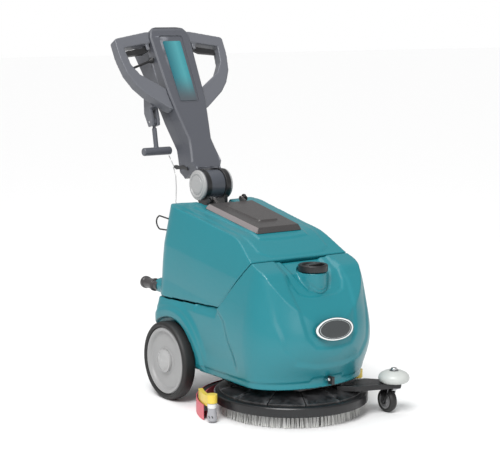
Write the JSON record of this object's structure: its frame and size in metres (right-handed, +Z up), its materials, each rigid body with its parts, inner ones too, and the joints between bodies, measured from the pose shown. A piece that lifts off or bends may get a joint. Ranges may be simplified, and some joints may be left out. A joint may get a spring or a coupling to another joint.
{
  "type": "wet dry floor scrubber",
  "caption": "Compact walk-behind floor scrubber: stacked teal tanks on a round disc-brush deck, rear wheels, curved squeegee, tilting handle column with grip loops and triggers.",
  "frame": {"origin": "on the floor, under the middle of the overall box", "axes": "+Z up; +Y to the rear, where the operator stands; +X to the machine's left side"},
  "size_m": [0.5906, 1.0728, 1.1671],
  "materials": {
    "teal_shell": "semi-gloss rotomoulded",
    "dark_shell": "satin moulded",
    "black_plastic": "satin moulded",
    "grey_shell": "satin moulded",
    "light_grey": "satin moulded",
    "teal_inlay": "gloss film",
    "black_frame": "powder coat",
    "bright_steel": "machined",
    "motor_metal": "painted",
    "battery_case": "ribbed case",
    "bristle": "nylon tufts",
    "rubber_black": "matt",
    "tyre_rubber": "matt",
    "red_rubber": "moulded blade",
    "yellow_strap": "powder coat",
    "badge_white": "gloss"
  },
  "bodies": {
    "chassis": {"chassis_frame": "black_frame", "wheel_axle": "bright_steel", "solution_tank": "teal_shell", "badge_plate": "badge_white", "batteries": "battery_case", "controller": "black_plastic", "brush_motor": "motor_metal", "deck_skirt": "black_plastic", "column_pedestal": "black_frame", "pivot_drum": "dark_shell", "pivot_pin": "bright_steel", "caster_arm": "black_frame", "bumper_bolt": "bright_steel", "suction_hose": "rubber_black"},
    "brush": {"drive_hub": "bright_steel", "brush_plate": "black_plastic", "brush_bristles": "bristle"},
    "wheel_left": {"tyre_left": "tyre_rubber", "rim_left": "light_grey", "hub_cap_left": "light_grey"},
    "wheel_right": {"tyre_right": "tyre_rubber", "rim_right": "light_grey", "hub_cap_right": "light_grey"},
    "caster": {"caster_fork": "bright_steel"},
    "caster_roller": {"caster_wheel": "tyre_rubber"},
    "bumper": {"bumper_roller": "light_grey"},
    "upper_tank": {"recovery_tank": "teal_shell", "lid_hinge_pins": "bright_steel", "float_cage": "light_grey", "cord_hook": "black_frame", "vacuum_motor": "motor_metal"},
    "lid": {"tank_lid": "dark_shell", "lid_seal": "rubber_black"},
    "float": {"float_ball": "badge_white"},
    "fan": {"vacuum_fan": "bright_steel"},
    "drain": {"drain_cap": "black_plastic"},
    "filler": {"fill_cap": "black_plastic"},
    "column": {"column_front": "grey_shell", "column_back": "grey_shell", "column_inlay": "teal_inlay", "control_panel": "black_plastic", "pivot_covers": "light_grey", "grip_loops": "light_grey", "lift_bracket": "grey_shell", "column_pins": "bright_steel", "wire_guide": "black_plastic", "lift_wire_upper": "bright_steel", "lift_wire_lower": "bright_steel"},
    "trigger_left": {"trigger_left": "black_plastic"},
    "trigger_right": {"trigger_right": "black_plastic"},
    "release": {"release_lever": "black_frame"},
    "lift": {"lift_lever": "grey_shell"},
    "squeegee": {"squeegee_frame": "black_frame", "squeegee_blades": "red_rubber", "squeegee_straps": "yellow_strap"},
    "end_roller_left": {"end_roller_left": "grey_shell"},
    "end_roller_right": {"end_roller_right": "grey_shell"},
    "brush_button": {"brush_button": "badge_white"},
    "vacuum_button": {"vacuum_button": "badge_white"},
    "key": {"key_switch": "bright_steel"}
  },
  "joints": [
    {"name": "brush_spin", "type": "hinge", "parent": "chassis", "child": "brush", "pos_m": [0, -0.274, 0.04], "axis": [0, 0, 1], "continuous": true},
    {"name": "wheel_left_spin", "type": "hinge", "parent": "chassis", "child": "wheel_left", "pos_m": [0.232, 0.062, 0.125], "axis": [1, 0, 0], "continuous": true},
    {"name": "wheel_right_spin", "type": "hinge", "parent": "chassis", "child": "wheel_right", "pos_m": [-0.232, 0.062, 0.125], "axis": [1, 0, 0], "continuous": true},
    {"name": "caster_swivel", "type": "hinge", "parent": "chassis", "child": "caster", "pos_m": [0.232, -0.489, 0.08], "axis": [0, 0, 1], "continuous": true},
    {"name": "caster_roll", "type": "hinge", "parent": "caster", "child": "caster_roller", "pos_m": [0.232, -0.459, 0.037], "axis": [1, 0, 0], "continuous": true},
    {"name": "bumper_spin", "type": "hinge", "parent": "chassis", "child": "bumper", "pos_m": [0.232, -0.489, 0.118], "axis": [0, 0, 1], "continuous": true},
    {"name": "tank_lift_off", "type": "slide", "parent": "chassis", "child": "upper_tank", "axis": [0, 0, -1], "range_m": [-0.3, 0]},
    {"name": "lid_open", "type": "hinge", "parent": "upper_tank", "child": "lid", "pos_m": [0, 0.074, 0.62], "axis": [1, 0, 0], "range_deg": [-95, 0]},
    {"name": "float_rise", "type": "slide", "parent": "upper_tank", "child": "float", "axis": [0, 0, 1], "range_m": [0, 0.03]},
    {"name": "fan_spin", "type": "hinge", "parent": "upper_tank", "child": "fan", "pos_m": [0.118, 0.092, 0.37], "axis": [0, 0, 1], "continuous": true},
    {"name": "drain_unscrew", "type": "hinge", "parent": "upper_tank", "child": "drain", "pos_m": [-0.185, 0.25, 0.339], "axis": [0, 1, 0], "continuous": true},
    {"name": "filler_lift_off", "type": "slide", "parent": "chassis", "child": "filler", "axis": [0, 0, 1], "range_m": [0, 0.1]},
    {"name": "handle_tilt", "type": "hinge", "parent": "chassis", "child": "column", "pos_m": [0, 0.17, 0.661], "axis": [1, 0, 0], "range_deg": [-25, 115], "deforming": ["lift_wire_lower"]},
    {"name": "trigger_left_pull", "type": "hinge", "parent": "column", "child": "trigger_left", "pos_m": [0.091, 0.42023, 1.09283], "axis": [0, -0.8746, 0.4848], "range_deg": [0, 5], "stiffness_Nm_per_rad": 2},
    {"name": "trigger_right_pull", "type": "hinge", "parent": "column", "child": "trigger_right", "pos_m": [-0.091, 0.42023, 1.09283], "axis": [0, 0.8746, -0.4848], "range_deg": [0, 5], "stiffness_Nm_per_rad": 2},
    {"name": "release_pull", "type": "hinge", "parent": "column", "child": "release", "pos_m": [-0.072, 0.40273, 1.06023], "axis": [0, 0.8746, -0.4848], "range_deg": [0, 6], "stiffness_Nm_per_rad": 2},
    {"name": "squeegee_lever", "type": "hinge", "parent": "column", "child": "lift", "pos_m": [-0.106, 0.35387, 0.85864], "axis": [1, 0, 0], "range_deg": [0, 80], "deforming": ["lift_wire_upper"]},
    {"name": "squeegee_lift", "type": "slide", "parent": "chassis", "child": "squeegee", "axis": [0, 0, 1], "range_m": [0, 0.036], "deforming": ["suction_hose"]},
    {"name": "end_roller_left_spin", "type": "hinge", "parent": "squeegee", "child": "end_roller_left", "pos_m": [0.27932, -0.25447, 0.033], "axis": [0, 0, 1], "continuous": true},
    {"name": "end_roller_right_spin", "type": "hinge", "parent": "squeegee", "child": "end_roller_right", "pos_m": [-0.27932, -0.25447, 0.033], "axis": [0, 0, 1], "continuous": true},
    {"name": "brush_button_press", "type": "slide", "parent": "column", "child": "brush_button", "axis": [0, -0.7812, 0.6243], "range_m": [0, 0.003], "stiffness_N_per_m": 400},
    {"name": "vacuum_button_press", "type": "slide", "parent": "column", "child": "vacuum_button", "axis": [0, -0.7812, 0.6243], "range_m": [0, 0.003], "stiffness_N_per_m": 400},
    {"name": "key_turn", "type": "hinge", "parent": "column", "child": "key", "pos_m": [-0.03, 0.50602, 1.04956], "axis": [0, 0.7812, -0.6243], "range_deg": [0, 60]}
  ],
  "couplings": [
    {"joint": "squeegee_lift", "follows": "squeegee_lever", "m_per_rad": 0.0257}
  ]
}
